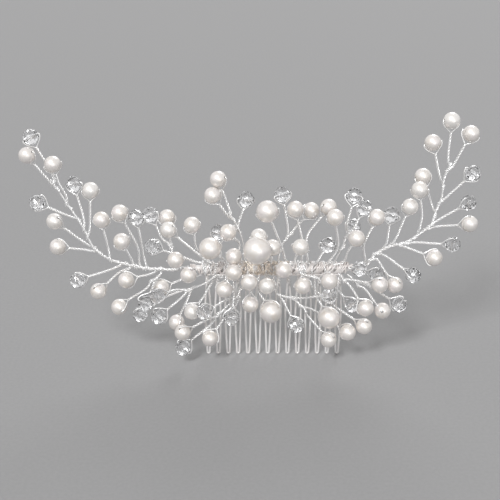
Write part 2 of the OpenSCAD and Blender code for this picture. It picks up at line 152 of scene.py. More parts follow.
class Route:
    """A rounded line measured by its length, with a direction and a steady side at each place."""

    def __init__(self, points: list[Vector], radii: list[float] | None = None,
                 step: float = 0.3 * MM) -> None:
        """Rounds and measures the line.

        Args:
            points: the knots that the line runs through.
            radii: the thickness at each knot, as a radius, or None for a line without one.
            step: longest distance between two measured points.
        """
        self.points = smooth_line(points, step)
        self.lengths = [0.0]
        for a, b in zip(self.points, self.points[1:]):
            self.lengths.append(self.lengths[-1] + (b - a).length)
        self.length = self.lengths[-1]
        ends = len(self.points) - 1
        self.ways = [(self.points[min(i + 1, ends)] - self.points[max(i - 1, 0)]).normalized()
                     for i in range(ends + 1)]
        side = self.ways[0].orthogonal().normalized()
        self.sides = [side]
        for a, b in zip(self.ways, self.ways[1:]):
            side = a.rotation_difference(b) @ side
            side = (side - b * side.dot(b)).normalized()
            self.sides.append(side)
        self.radii = self._spread(points, radii) if radii else None

    def _spread(self, knots: list[Vector], radii: list[float]) -> list[float]:
        """Gives every measured point a radius, in even steps between the knots' own.

        Args:
            knots: the knots that the line runs through.
            radii: the radius at each knot.

        Returns:
            A radius for each measured point.
        """
        nearest = [min(range(len(self.points)), key=lambda i: (self.points[i] - k).length) for k in knots]
        marks = [self.lengths[i] for i in nearest]
        out = []
        for s in self.lengths:
            i = max(j for j in range(len(marks)) if marks[j] <= s + 1e-9)
            j = min(i + 1, len(marks) - 1)
            share = 0.0 if marks[j] == marks[i] else (s - marks[i]) / (marks[j] - marks[i])
            out.append(radii[i] + (radii[j] - radii[i]) * share)
        return out

    def _find(self, s: float) -> tuple[int, float]:
        """Finds the stretch of the line that holds a length.

        Args:
            s: the length, from the line's start.

        Returns:
            The stretch's number, and how much of it is done at s.
        """
        s = min(max(s, 0.0), self.length)
        lo, hi = 0, len(self.lengths) - 1
        while hi - lo > 1:
            mid = (lo + hi) // 2
            lo, hi = (mid, hi) if self.lengths[mid] <= s else (lo, mid)
        return lo, (s - self.lengths[lo]) / max(self.lengths[hi] - self.lengths[lo], 1e-12)

    def place(self, s: float) -> tuple[Vector, Vector, Vector]:
        """The line's place at a length.

        Args:
            s: the length, from the line's start.

        Returns:
            The point, the direction of the line there and its side.
        """
        i, t = self._find(s)
        way = self.ways[i].lerp(self.ways[i + 1], t).normalized()
        side = self.sides[i].lerp(self.sides[i + 1], t)
        return self.points[i].lerp(self.points[i + 1], t), way, (side - way * side.dot(way)).normalized()

    def radius(self, s: float) -> float:
        """Radius of the stem at the length s."""
        i, t = self._find(s)
        return self.radii[i] + (self.radii[i + 1] - self.radii[i]) * t

    def nearest(self, point: Vector) -> tuple[float, float]:
        """Length at which the line passes nearest to a point, and the distance there."""
        i = min(range(len(self.points)), key=lambda k: (self.points[k] - point).length_squared)
        return self.lengths[i], (self.points[i] - point).length

    def around(self, s: float, angle: float, radius: float) -> Vector:
        """A point beside the line, at a radius from it and an angle round it."""
        point, way, side = self.place(s)
        return point + (side * math.cos(angle) + way.cross(side) * math.sin(angle)) * radius

    def angle_of(self, s: float, direction: Vector) -> float:
        """Angle round the line at which a direction lies."""
        _, way, side = self.place(s)
        return math.atan2(direction.dot(way.cross(side)), direction.dot(side))


# ---- reading the frame ----


@dataclass
class Ring:
    """One cross-section of a swept solid."""

    centre: Vector
    radius: float


@dataclass
class TracedStem:
    """A swept solid of the frame, read back as the rings along it."""

    rings: list[Ring]
    sides: int

    @property
    def is_bundle(self) -> bool:
        """Whether it is a stem that carries other stems."""
        return self.sides == BUNDLE_SIDES

    @property
    def holds_bead(self) -> bool:
        """Whether its wire goes on round a bead."""
        return not self.is_bundle and self.rings[-1].radius < SINGLE_WIRE

    def route(self) -> Route:
        """The stem's own line, thick end first."""
        return Route([r.centre for r in self.rings], [r.radius for r in self.rings])


class FrameReader:
    """Reads the solids of a frame node from a merged copy of its mesh, inside a with block."""

    def __init__(self, node: str) -> None:
        """Copies and merges the node's mesh, and splits it into solids.

        Args:
            node: name of the frame node.
        """
        self.bm = bmesh.new()
        self.bm.from_mesh(frame["nodes"][node].data)
        bmesh.ops.remove_doubles(self.bm, verts=self.bm.verts[:], dist=WELD)
        self.bm.verts.index_update()
        self.bm.faces.index_update()
        self.solids = self._split()

    def __enter__(self) -> "FrameReader":
        """Starts the block that reads from the copy."""
        return self

    def __exit__(self, *problem: object) -> None:
        """Frees the merged copy."""
        self.bm.free()

    def _split(self) -> list[list[bmesh.types.BMVert]]:
        """Finds which vertices belong together.

        Returns:
            The vertices of each solid, in the order in which they are stored.
        """
        seen: set[int] = set()
        solids = []
        for start in self.bm.verts:
            if start.index in seen:
                continue
            seen.add(start.index)
            solid, queue = [], [start]
            while queue:
                vert = queue.pop()
                solid.append(vert)
                for edge in vert.link_edges:
                    other = edge.other_vert(vert)
                    if other.index not in seen:
                        seen.add(other.index)
                        queue.append(other)
            solids.append(sorted(solid, key=lambda v: v.index))
        return solids

    def boxes(self) -> list[tuple[Vector, Vector]]:
        """Lowest and highest corner of each solid."""
        corners = [list(zip(*(v.co for v in solid))) for solid in self.solids]
        return [(Vector(map(min, axes)), Vector(map(max, axes))) for axes in corners]

    def stems(self) -> list[TracedStem]:
        """Every solid of the node as a traced stem, thick end first."""
        caps = [self._thickest_cap(solid) for solid in self.solids]
        return [self._trace(cap) for cap in caps if cap]

    @staticmethod
    def _thickest_cap(solid: list[bmesh.types.BMVert]) -> list[bmesh.types.BMVert]:
        """Finds the widest flat end of a swept solid.

        Args:
            solid: the solid's vertices.

        Returns:
            The corners of that end, or an empty list if the solid has none.
        """
        best: list[bmesh.types.BMVert] = []
        widest = 0.0
        seen: set[int] = set()
        for face in sorted({f for v in solid for f in v.link_faces}, key=lambda f: f.index):
            if face.index in seen:
                continue
            flat, queue = [], [face]
            seen.add(face.index)
            while queue:
                here = queue.pop()
                flat.append(here)
                for other in (f for e in here.edges for f in e.link_faces):
                    if other.index not in seen and other.normal.dot(face.normal) > SAME_PLANE:
                        seen.add(other.index)
                        queue.append(other)
            corners = sorted({v for f in flat for v in f.verts}, key=lambda v: v.index)
            if len(corners) not in (STEM_SIDES, BUNDLE_SIDES) or len(flat) != len(corners) - 2:
                continue
            middle = sum((v.co for v in corners), Vector()) / len(corners)
            reach = [(v.co - middle).length for v in corners]
            if max(reach) - min(reach) < ROUND_WITHIN * max(reach) and max(reach) > widest + WELD:
                best, widest = corners, max(reach)
        return best

    @staticmethod
    def _trace(cap: list[bmesh.types.BMVert]) -> TracedStem:
        """Walks from an end ring of a swept solid to the other end.

        Args:
            cap: corners of the end where the walk starts.

        Returns:
            The rings in order.
        """
        rings, layer = [], cap
        seen = {v.index for v in cap}
        while layer:
            middle = sum((v.co for v in layer), Vector()) / len(layer)
            rings.append(Ring(middle, min((v.co - middle).length for v in layer)))
            following = {e.other_vert(v) for v in layer for e in v.link_edges}
            layer = sorted((v for v in following if v.index not in seen), key=lambda v: v.index)
            seen |= {v.index for v in layer}
        return TracedStem(rings, len(cap))


@dataclass
class BeadSite:
    """A bead's place, its hole and the stem that carries it."""

    kind: BeadKind
    centre: Vector
    hole: Vector
    stem: list[Vector]

    @property
    def way(self) -> Vector:
        """Way in which the stem runs into the bead."""
        return (self.centre - self.stem[-1]).normalized()

    @property
    def matrix(self) -> Matrix:
        """Turns a bead drilled along Z onto its place."""
        turn = Z_AXIS.rotation_difference(self.hole)
        return Matrix.Translation(self.centre) @ turn.to_matrix().to_4x4()


# ---- finishes ----


class NodePainter:
    """Short ways to lay out a material's nodes."""

    def __init__(self, name: str) -> None:
        """Starts a material with one Principled shader.

        Args:
            name: the material's name.
        """
        self.material = bpy.data.materials.new(name)
        self.material.use_nodes = True
        self.nodes = self.material.node_tree.nodes
        self.links = self.material.node_tree.links
        self.shader = self.nodes["Principled BSDF"]
        self.place = self.nodes.new("ShaderNodeTexCoord").outputs["Object"]

    def set(self, **sockets: object) -> None:
        """Writes plain values on the shader's own sockets, with underscores for spaces in their names."""
        for name, value in sockets.items():
            self.shader.inputs[name.replace("_", " ")].default_value = value

    def speckle(self, grain: float, detail: float = 2.0) -> bpy.types.NodeSocket:
        """A cloudy pattern.

        Args:
            grain: size of one cloud, in metres.
            detail: how many finer layers the cloud has.

        Returns:
            The pattern's output, from 0 to 1.
        """
        clouds = self.nodes.new("ShaderNodeTexNoise")
        clouds.inputs["Scale"].default_value = 1 / grain
        clouds.inputs["Detail"].default_value = detail
        self.links.new(self.place, clouds.inputs["Vector"])
        return clouds.outputs["Fac"]

    def attribute(self, name: str) -> bpy.types.NodeSocket:
        """Reads one of the piece's own attributes.

        Args:
            name: the attribute's name.

        Returns:
            The output with its value.
        """
        reader = self.nodes.new("ShaderNodeAttribute")
        reader.attribute_name = name
        return reader.outputs["Fac"]

    def ramp(self, source: bpy.types.NodeSocket, stops: list[tuple[float, Colour]]) -> bpy.types.NodeSocket:
        """Colours a pattern.

        Args:
            source: the pattern.
            stops: positions and their colours, from low to high.

        Returns:
            The colour output.
        """
        node = self.nodes.new("ShaderNodeValToRGB")
        elements = node.color_ramp.elements
        while len(elements) < len(stops):
            elements.new(0.5)
        for element, (position, colour) in zip(elements, stops):
            element.position = position
            element.color = (*colour, 1)
        self.links.new(source, node.inputs["Fac"])
        return node.outputs["Color"]

    def spread(self, source: bpy.types.NodeSocket, low: float, high: float) -> bpy.types.NodeSocket:
        """Stretches a cloudy pattern, most of which lies between 0.3 and 0.7.

        Args:
            source: the pattern.
            low: its lowest value afterwards.
            high: its highest value afterwards.

        Returns:
            The stretched pattern's output.
        """
        node = self.nodes.new("ShaderNodeMapRange")
        limits = {"From Min": 0.3, "From Max": 0.7, "To Min": low, "To Max": high}
        for name, value in limits.items():
            node.inputs[name].default_value = value
        self.links.new(source, node.inputs["Value"])
        return node.outputs["Result"]

    def blend(self, share: bpy.types.NodeSocket, a: bpy.types.NodeSocket,
              b: bpy.types.NodeSocket) -> bpy.types.NodeSocket:
        """Mixes two colours by a pattern.

        Args:
            share: the pattern, from all of the first colour to all of the second.
            a: the first colour.
            b: the second colour.

        Returns:
            The mixed colour's output.
        """
        node = self.nodes.new("ShaderNodeMix")
        node.data_type = "RGBA"
        self.links.new(share, node.inputs[0])
        self.links.new(a, node.inputs[6])
        self.links.new(b, node.inputs[7])
        return node.outputs[2]

    def drive(self, socket: str, source: bpy.types.NodeSocket) -> None:
        """Joins a pattern to one of the shader's sockets."""
        self.links.new(source, self.shader.inputs[socket])

    def relief(self, source: bpy.types.NodeSocket, depth: float, strength: float) -> None:
        """Raises the surface by a pattern.

        Args:
            source: the pattern.
            depth: height of the relief, in metres.
            strength: how much of it shows, from 0 to 1.
        """
        bump = self.nodes.new("ShaderNodeBump")
        bump.inputs["Strength"].default_value = strength
        bump.inputs["Distance"].default_value = depth
        self.links.new(source, bump.inputs["Height"])
        self.links.new(bump.outputs["Normal"], self.shader.inputs["Normal"])


@dataclass(frozen=True)
class SilverWire:
    """Bright silver-plated wire with faint drawing marks and a warmer tone where it has been handled."""

    name: str
    bright: Colour = (0.97, 0.97, 0.97)
    warm: Colour = (0.93, 0.92, 0.91)
    smooth: float = 0.14
    rubbed: float = 0.26
    metal: float = 0.55
    grain: float = 0.9 * MM
    scratch_depth: float = 0.01 * MM

    def material(self) -> bpy.types.Material:
        """Lays out the finish.

        Returns:
            Its material.
        """
        paint = NodePainter(self.name)
        clouds = paint.speckle(self.grain * 4)
        scratches = paint.speckle(self.grain / 4, detail=4)
        paint.set(Metallic=self.metal)
        paint.drive("Base Color", paint.ramp(clouds, [(0.35, self.warm), (0.6, self.bright)]))
        paint.drive("Roughness", paint.spread(scratches, self.smooth, self.rubbed))
        paint.relief(scratches, self.scratch_depth, 0.35)
        return paint.material


@dataclass(frozen=True)
class PearlCoat:
    """Ivory pearl coating: a creamy body under a clear glaze, with a soft pink bloom."""

    name: str
    cream: Colour = (0.86, 0.795, 0.73)
    ivory: Colour = (0.92, 0.88, 0.845)
    blush: Colour = (0.90, 0.84, 0.83)
    palest: Colour = (0.93, 0.91, 0.885)
    bloom: tuple[float, float, float, float] = (1.0, 0.93, 0.90, 1.0)
    mottling: float = 3.5 * MM
    skin_grain: float = 0.35 * MM
    skin_depth: float = 0.012 * MM

    def material(self) -> bpy.types.Material:
        """Lays out the finish.

        Returns:
            Its material.
        """
        paint = NodePainter(self.name)
        layers = paint.speckle(self.mottling, detail=3)
        skin = paint.speckle(self.skin_grain, detail=3)
        body = paint.ramp(layers, [(0.3, self.cream), (0.5, self.ivory), (0.72, self.blush)])
        lighter = paint.ramp(layers, [(0.3, self.ivory), (0.7, self.palest)])
        paint.drive("Base Color", paint.blend(paint.attribute(TONE), body, lighter))
        paint.drive("Roughness", paint.spread(skin, 0.36, 0.46))
        paint.relief(skin, self.skin_depth, 0.2)
        paint.set(Metallic=0.4, Coat_Weight=0.85, Coat_Roughness=0.13, Coat_IOR=1.7, IOR=1.6,
                  Sheen_Weight=0.45, Sheen_Roughness=0.3, Sheen_Tint=self.bloom)
        return paint.material


@dataclass(frozen=True)
class CutCrystal:
    """Clear cut crystal with faint polishing haze on its facets."""

    name: str
    clear: Colour = (0.965, 0.965, 0.97)
    hazy: Colour = (0.89, 0.89, 0.895)

    def material(self) -> bpy.types.Material:
        """Lays out the finish.

        Returns:
            Its material.
        """
        paint = NodePainter(self.name)
        haze = paint.speckle(1.6 * MM)
        paint.drive("Base Color", paint.ramp(haze, [(0.35, self.hazy), (0.6, self.clear)]))
        paint.drive("Roughness", paint.spread(haze, 0.0, 0.035))
        paint.set(Transmission_Weight=1.0, IOR=1.62, Coat_Weight=0.3, Coat_Roughness=0.02)
        return paint.material


@dataclass(frozen=True)
class PaleFloor:
    """Matt pale board under the comb."""

    name: str
    light: Colour = (0.42, 0.42, 0.427)
    dark: Colour = (0.395, 0.395, 0.402)

    def material(self) -> bpy.types.Material:
        """Lays out the finish.

        Returns:
            Its material.
        """
        paint = NodePainter(self.name)
        fibre = paint.speckle(1.2 * MM)
        paint.set(Roughness=0.85)
        paint.drive("Base Color", paint.ramp(fibre, [(0.3, self.dark), (0.7, self.light)]))
        return paint.material


@dataclass(frozen=True)
class Finishes:
    """The materials that the sub-assemblies share."""

    comb_wire: bpy.types.Material
    binding_wire: bpy.types.Material
    gilt_wire: bpy.types.Material
    stem_wire: bpy.types.Material
    pearl: bpy.types.Material
    crystal: bpy.types.Material

    @classmethod
    def make(cls) -> "Finishes":
        """Mixes every shared material.

        Returns:
            The set of materials.
        """
        return cls(
            SilverWire("comb_silver", bright=(0.98, 0.97, 0.965), warm=(0.95, 0.925, 0.91),
                       metal=0.2).material(),
            SilverWire("binding_silver", bright=(0.985, 0.95, 0.94), warm=(0.95, 0.895, 0.87), rubbed=0.4,
                       metal=0.12).material(),
            SilverWire("gilt_binding", bright=(0.985, 0.91, 0.82), warm=(0.95, 0.83, 0.72),
                       metal=0.3).material(),
            SilverWire("stem_silver").material(),
            PearlCoat("pearl_coat").material(),
            CutCrystal("cut_crystal").material())


# ---- making pieces ----


def link_object(name: str, data: bpy.types.ID) -> bpy.types.Object:
    """Puts a mesh, a curve, a lamp or a camera into the scene.

    Args:
        name: the object's name.
        data: what it shows.

    Returns:
        The object, at the origin.
    """
    holder = bpy.data.objects.new(name, data)
    bpy.context.scene.collection.objects.link(holder)
    return holder


def mesh_from(bm: bmesh.types.BMesh, name: str) -> bpy.types.Mesh:
    """Turns a bmesh into a mesh and frees it.

    Args:
        bm: the finished bmesh.
        name: the mesh's name.

    Returns:
        The mesh.
    """
    mesh = bpy.data.meshes.new(name)
    bm.to_mesh(mesh)
    bm.free()
    return mesh


class WireSpool:
    """Gathers runs of round wire and turns them into one piece."""

    def __init__(self, name: str, sides: int = 6) -> None:
        """Starts an empty piece.

        Args:
            name: name of the piece.
            sides: sides of a wire's cross-section, an even number of at least 6.
        """
        self.name = name
        self.curve = bpy.data.curves.new(name + "_line", "CURVE")
        self.curve.dimensions = "3D"
        self.curve.bevel_depth = 1.0
        self.curve.bevel_resolution = (sides - 4) // 2
        self.curve.use_fill_caps = True

    def run(self, points: Iterable[Vector], radius: float | list[float], closed: bool = False) -> None:
        """Adds a run of wire.

        Args:
            points: the places that the wire runs through.
            radius: the wire's radius, or one for each place.
            closed: whether the end joins the start.
        """
        line = list(points)
        radii = radius if isinstance(radius, list) else [radius] * len(line)
        spline = self.curve.splines.new("POLY")
        spline.points.add(len(line) - 1)
        for knot, place, r in zip(spline.points, line, radii):
            knot.co = (*place, 1)
            knot.radius = r
        spline.use_cyclic_u = closed
        spline.use_smooth = True

    def piece(self, body: str, slot: Slot, material: bpy.types.Material,
              *stands_for: str) -> bpy.types.Object:
        """Turns the wires into a finished mesh piece.

        Args:
            body: the frame body that it moves with.
            slot: the record's material slot.
            material: its finish.
            stands_for: the frame nodes that it replaces.

        Returns:
            The piece.
        """
        holder = link_object(self.name + "_holder", self.curve)
        bpy.context.view_layer.update()
        graph = bpy.context.evaluated_depsgraph_get()
        mesh = bpy.data.meshes.new_from_object(holder.evaluated_get(graph))
        bpy.data.objects.remove(holder)
        bm = bmesh.new()
        bm.from_mesh(mesh)
        bmesh.ops.remove_doubles(bm, verts=bm.verts[:], dist=SEAM)
        bmesh.ops.recalc_face_normals(bm, faces=bm.faces[:])
        for face in bm.faces:
            face.smooth = len(face.verts) <= 4
        bm.to_mesh(mesh)
        bm.free()
        mesh.name = self.name
        return finish_piece(self.name, mesh, body, slot, material, *stands_for)


def finish_piece(name: str, mesh: bpy.types.Mesh, body: str, slot: Slot, material: bpy.types.Material,
                 *stands_for: str) -> bpy.types.Object:
    """Puts a mesh into the scene as a piece of the comb.

    Args:
        name: name of the piece.
        mesh: its shape, in place.
        body: the frame body that it moves with.
        slot: not used.
        material: its finish.
        stands_for: the frame nodes that it replaces.

    Returns:
        The piece.
    """
    mesh.materials.clear()
    mesh.materials.append(material)
    piece = link_object(name, mesh)
    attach(piece, body)
    if stands_for:
        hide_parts(*stands_for)
    LOG.info("%s: %d faces", name, len(mesh.polygons))
    return piece


def strew(template: bpy.types.Mesh, sites: list[BeadSite], name: str) -> bpy.types.Mesh:
    """Copies one bead to many places.

    Args:
        template: the bead, drilled along Z and centred.
        sites: where the beads go.
        name: name of the joined mesh.

    Returns:
        A mesh that holds every bead, with a tone of its own on each.
    """
    bm = bmesh.new()
    tone = bm.verts.layers.float.new(TONE)
    for site in sites:
        count = len(bm.verts)
        bm.from_mesh(template)
        bm.verts.ensure_lookup_table()
        fresh = bm.verts[count:]
        turned = site.matrix @ Matrix.Rotation(noise.cell(site.centre / MM) * math.pi, 4, "Z")
        bmesh.ops.transform(bm, matrix=turned, verts=fresh)
        shade = noise.cell(site.centre.zxy / MM)
        for vert in fresh:
            vert[tone] = shade
    return mesh_from(bm, name)


def push_out(verts: Iterable[bmesh.types.BMVert], radius: float) -> None:
    """Moves vertices sideways until they stand at a radius from the Z axis.

    Args:
        verts: the vertices, none of them on the axis.
        radius: how far from the axis they end.
    """
    for vert in verts:
        around = vert.co.xy.normalized() * radius
        vert.co = (around.x, around.y, vert.co.z)


@dataclass
class PearlShape:
    """A drilled pearl, its hole flared a little at the mouth."""

    radius: float
    bore_radius: float
    segments: int = 28
    rings: int = 18
    flare: float = 1.25
    lip_depth: float = 0.06 * MM

    def template(self) -> bpy.types.Mesh:
        """Makes one pearl, drilled along Z and centred.

        Returns:
            Its mesh, smooth but for the rim of the hole.
        """
        bm = bmesh.new()
        bmesh.ops.create_uvsphere(bm, u_segments=self.segments, v_segments=self.rings, radius=self.radius)
        poles = [v for v in bm.verts if v.co.xy.length < self.bore_radius / 2]
        bmesh.ops.delete(bm, geom=poles, context="VERTS")
        rims = [e for e in bm.edges if e.is_boundary]
        mouth = self.bore_radius * self.flare
        corners = {v for e in rims for v in e.verts}
        push_out(corners, mouth)
        for vert in corners:
            vert.co.z = math.copysign(math.sqrt(self.radius ** 2 - mouth ** 2), vert.co.z)
        sunk = bmesh.ops.extrude_edge_only(bm, edges=rims)["geom"]
        lips = [g for g in sunk if isinstance(g, bmesh.types.BMVert)]
        push_out(lips, self.bore_radius)
        for vert in lips:
            vert.co.z *= 1 - self.lip_depth / abs(vert.co.z)
        bmesh.ops.bridge_loops(bm, edges=[e for e in bm.edges if e.is_boundary])
        bmesh.ops.recalc_face_normals(bm, faces=bm.faces[:])
        for face in bm.faces:
            face.smooth = True
        for edge in bm.edges:
            if max(v.co.xy.length for v in edge.verts) < mouth * 1.02:
                edge.smooth = False
        return mesh_from(bm, "pearl_template")


@dataclass
class CrystalShape:
    """A cut crystal: a faceted barrel with a flat at each end and a hole between them.

    Its shoulders' width and height are shares of its radius and half length.
    """

    radius: float = 3.0 * MM
    half_length: float = 2.5 * MM
    flat_radius: float = 1.5 * MM
    bore_radius: float = 0.45 * MM
    facets: int = 10
    shoulder_width: float = 0.88
    shoulder_height: float = 0.5

    def template(self) -> bpy.types.Mesh:
        """Makes one crystal, drilled along Z and centred.

        Returns:
            Its mesh, with flat facets.
        """
        bm = bmesh.new()
        flat = (self.flat_radius, self.half_length, 0.0)
        shoulder = (self.shoulder_width * self.radius, self.shoulder_height * self.half_length, 0.5)
        girdle = (self.radius, 0.0, 0.0)
        below = [(radius, -height, shift) for radius, height, shift in (shoulder, flat)]
        for radius, height, shift in [flat, shoulder, girdle, *below]:
            for k in range(self.facets):
                angle = math.tau * (k + shift) / self.facets
                bm.verts.new((radius * math.cos(angle), radius * math.sin(angle), height))
        bmesh.ops.convex_hull(bm, input=bm.verts[:])
        bmesh.ops.dissolve_limit(bm, angle_limit=math.radians(1), verts=bm.verts[:], edges=bm.edges[:])
        mouths = [f for f in bm.faces if len(f.verts) == self.facets]
        mouths.sort(key=lambda f: f.calc_center_median().z)
        bmesh.ops.inset_individual(bm, faces=mouths, thickness=self.flat_radius * 0.6)
        for face in mouths:
            push_out(face.verts, self.bore_radius)
        rims = [e for f in mouths for e in f.edges]
        bmesh.ops.delete(bm, geom=mouths, context="FACES_ONLY")
        bmesh.ops.bridge_loops(bm, edges=rims)
        bmesh.ops.recalc_face_normals(bm, faces=bm.faces[:])
        for face in bm.faces:
            face.smooth = False
        return mesh_from(bm, "crystal_template")


# ---- wirework ----


@dataclass
class Twist:
    """How two strands of wire are wound on each other."""

    wire_radius: float = 0.25 * MM
    offset: float = 0.28 * MM
    pitch: float = 2.4 * MM
    step: float = 0.28 * MM

    def strands(self, route: Route, last_angle: float) -> tuple[list[Vector], list[Vector]]:
        """The two strands along a route.

        Args:
            route: the stem's line.
            last_angle: angle of the first strand at the end of the route.

        Returns:
            The first strand's points from the start to the end, and the second's.
        """
        count = max(4, math.ceil(route.length / self.step))
        rows: tuple[list[Vector], list[Vector]] = ([], [])
        for k in range(count + 1):
            s = route.length * k / count
            angle = last_angle - math.tau * (route.length - s) / self.pitch
            for row, half in zip(rows, (0, math.pi)):
                row.append(route.around(s, angle + half, self.offset))
        return rows


class Anchor(ABC):
    """What a stem is wound on at its foot."""

    @abstractmethod
    def distance(self, foot: Vector) -> float:
        """Distance from a stem's foot."""

    @abstractmethod
    def lead_in(self, foot: Vector) -> list[Vector]:
        """Places of the hidden end of a stem, from its buried tip to just before the foot."""


@dataclass
class RailAnchor(Anchor):
    """The rail: a stem is wound round it before it stands off."""

    half_length: float
    turns: float = 1.1
    advance: float = 1.4 * MM
    buried: float = 1.5 * MM
    lump: float = 0.2 * MM
    sink: float = 0.3
    steps: int = 28

    def distance(self, foot: Vector) -> float:
        """Distance from the foot to the rail's line."""
        beyond = max(0.0, abs(foot.x) - self.half_length)
        return Vector((beyond, foot.y, foot.z)).length

    def lead_in(self, foot: Vector) -> list[Vector]:
        """Winds the stem's end round the rail, towards the middle of the comb.

        Args:
            foot: where the stem stands off.

        Returns:
            Places from the buried tip to just before the foot.
        """
        radius = math.hypot(foot.y, foot.z)
        start = math.atan2(foot.z, foot.y)
        hand = 1 if noise.cell(foot / MM) > 0.5 else -1
        inward = -1 if foot.x > 0 else 1
        row = []
        for k in range(self.steps):
            t = 1 - k / self.steps
            angle = start + hand * t * self.turns * math.tau
            reach = radius + (self.buried - radius) * max(0.0, t - (1 - self.sink)) / self.sink
            reach += self.lump * math.sin(math.pi * t) * noise.cell(foot.yzx / MM)
            row.append(round_rail(foot.x + inward * t * self.advance, angle, reach))
        return row


@dataclass
class BundleAnchor(Anchor):
    """A thicker stem: a thinner one runs along it and sinks in towards its root."""

    route: Route
    run: float = 3.6 * MM
    turns: float = 0.85
    buried: float = 0.3
    sink_power: float = 0.8
    steps: int = 12

    def distance(self, foot: Vector) -> float:
        """Distance from the foot to the stem's surface."""
        s, gap = self.route.nearest(foot)
        return gap - self.route.radius(s)

    def lead_in(self, foot: Vector) -> list[Vector]:
        """Winds the stem's end along the bundle, towards the bundle's thick end.

        Args:
            foot: where the stem stands off.

        Returns:
            Places from the buried tip to just before the foot.
        """
        s0, gap = self.route.nearest(foot)
        point, way, _ = self.route.place(s0)
        lean = foot - point
        start = self.route.angle_of(s0, lean - way * lean.dot(way))
        back = min(self.run, s0)
        row = []
        for k in range(self.steps):
            t = 1 - k / self.steps
            s = s0 - back * t
            reach = gap + (self.buried * self.route.radius(s) - gap) * t ** self.sink_power
            row.append(self.route.around(s, start - t * back / self.run * self.turns * math.tau, reach))
        return row


def nearest_anchor(foot: Vector, anchors: list[Anchor]) -> Anchor:
    """The rail or bundle that a foot lies against."""
    return min(anchors, key=lambda a: a.distance(foot))


def round_rail(x: float, angle: float, radius: float) -> Vector:
    """A point round the rail, with the angle counted from behind over the top to the front."""
    return Vector((x, math.cos(angle) * radius, math.sin(angle) * radius))


@dataclass
class BeadWire:
    """One wire with its bead: twisted stem, loop and hole, all from a single run."""

    site: BeadSite
    anchor: Anchor
    bead_radius: float
    half_hole: float
    twist: Twist = field(default_factory=Twist)
    hug: float = 0.06 * MM
    mouth_gap: float = 0.12 * MM
    run_in: float = 0.6
    ring_end: float = math.radians(9)
    widest_touch: float = math.radians(75)
    bend: float = 0.16 * MM
    bend_length: float = 4.5 * MM
    stem_step: float = 1.2 * MM
    loop_step: float = 0.3 * MM

    @property
    def room(self) -> float:
        """Distance from the bead's centre to the middle of a wire that lies on it."""
        return self.bead_radius + self.twist.wire_radius + self.hug

    def line(self) -> list[Vector]:
        """The whole run of wire, from one buried end round the bead to the other.

        Returns:
            Its points, a fraction of a millimetre apart.
        """
        stem = self.anchor.lead_in(self.site.stem[0]) + self.site.stem
        route = Route(self._waver(stem))
        _, way, _ = route.place(route.length)
        side = (self.site.hole - way * self.site.hole.dot(way)).normalized()
        up, down = self.twist.strands(route, route.angle_of(route.length, side))
        legs = self._leg(up[-1], 1) + self._leg(down[-1], -1)[::-1]
        return up[:-1] + legs + down[-2::-1]

    def _leg(self, start: Vector, hand: int) -> list[Vector]:
        """One leg of the loop, from the last twist over the bead's side and into the hole.

        Args:
            start: end of the strand that becomes this leg.
            hand: which side, 1 towards the hole's direction and -1 away from it.

        Returns:
            The leg's points, clear of the bead.
        """
        c, hole = self.site.centre, self.site.hole * hand
        mouth = [c + hole * (self.half_hole + self.mouth_gap), c + hole * (self.run_in * self.half_hole)]
        knots = [start, *self._half_ring(hand, (start - c).length), *mouth]
        line = smooth_line(knots, self.loop_step)
        return [line[0]] + [self._clear(p) for p in line[1:]]

    def _half_ring(self, hand: int, far: float) -> list[Vector]:
        """Knots of the bow on one side of the bead.

        Args:
            hand: which side, 1 towards the hole's direction and -1 away from it.
            far: distance from the bead's centre to the last twist.

        Returns:
            Places close to the bead, from where the leg first touches it to just before the hole.
        """
        way, hole = self.site.way, self.site.hole
        flat = (way - hole * way.dot(hole)).normalized()
        touch = min(math.asin(min(1.0, self.room / far)), self.widest_touch)
        angles = [self.ring_end + (touch - self.ring_end) * quarter / 4 for quarter in (4, 3, 2, 1, 0)]
        return [self.site.centre + (hole * hand * math.cos(a) - flat * math.sin(a)) * self.room
                for a in angles]

    def _clear(self, point: Vector) -> Vector:
        """Moves a point of the loop off the bead, unless it is in the hole.

        Args:
            point: a place along the loop.

        Returns:
            The same place, or the nearest one that the wire can take.
        """
        arm = point - self.site.centre
        along = arm.dot(self.site.hole)
        beside = arm - self.site.hole * along
        if beside.length < self.twist.wire_radius:
            return self.site.centre + self.site.hole * along
        if arm.length >= self.room or self.site.kind is BeadKind.CRYSTAL:
            return point
        return self.site.centre + arm.normalized() * self.room

    def _waver(self, knots: list[Vector]) -> list[Vector]:
        """Bends a stem a little, as a hand-wound one is.

        Args:
            knots: the stem's places.

        Returns:
            More places along the stem, with its two ends kept.
        """
        line = smooth_line(knots, self.stem_step)
        total = len(line) - 1
        out = []
        for i, p in enumerate(line):
            free = math.sin(math.pi * i / total)
            out.append(p + noise.noise_vector(p / self.bend_length) * (self.bend * free))
        return out


@dataclass
class Rope:
    """Several strands laid round each other, as in a stem that carries many beads."""

    route: Route
    pitch: float
    strands: int = 2
    fill: float = 0.5
    slack: float = 0.85
    girth: float | None = None
    step: float = 0.4 * MM

    def wind(self, spool: WireSpool, phase: float) -> None:
        """Winds the rope's strands onto a spool.

        Args:
            spool: where the runs go.
            phase: angle of the first strand at the rope's root.
        """
        count = math.ceil(self.route.length / self.step)
        for n in range(self.strands):
            points, radii = [], []
            for k in range(count + 1):
                s = self.route.length * k / count
                thick = self.girth or self.route.radius(s) * self.slack
                wire = thick * self.fill
                angle = phase + math.tau * (n / self.strands + s / self.pitch)
                points.append(self.route.around(s, angle, thick - wire))
                radii.append(wire)
            spool.run(points, radii)


# ---- sub-assemblies ----


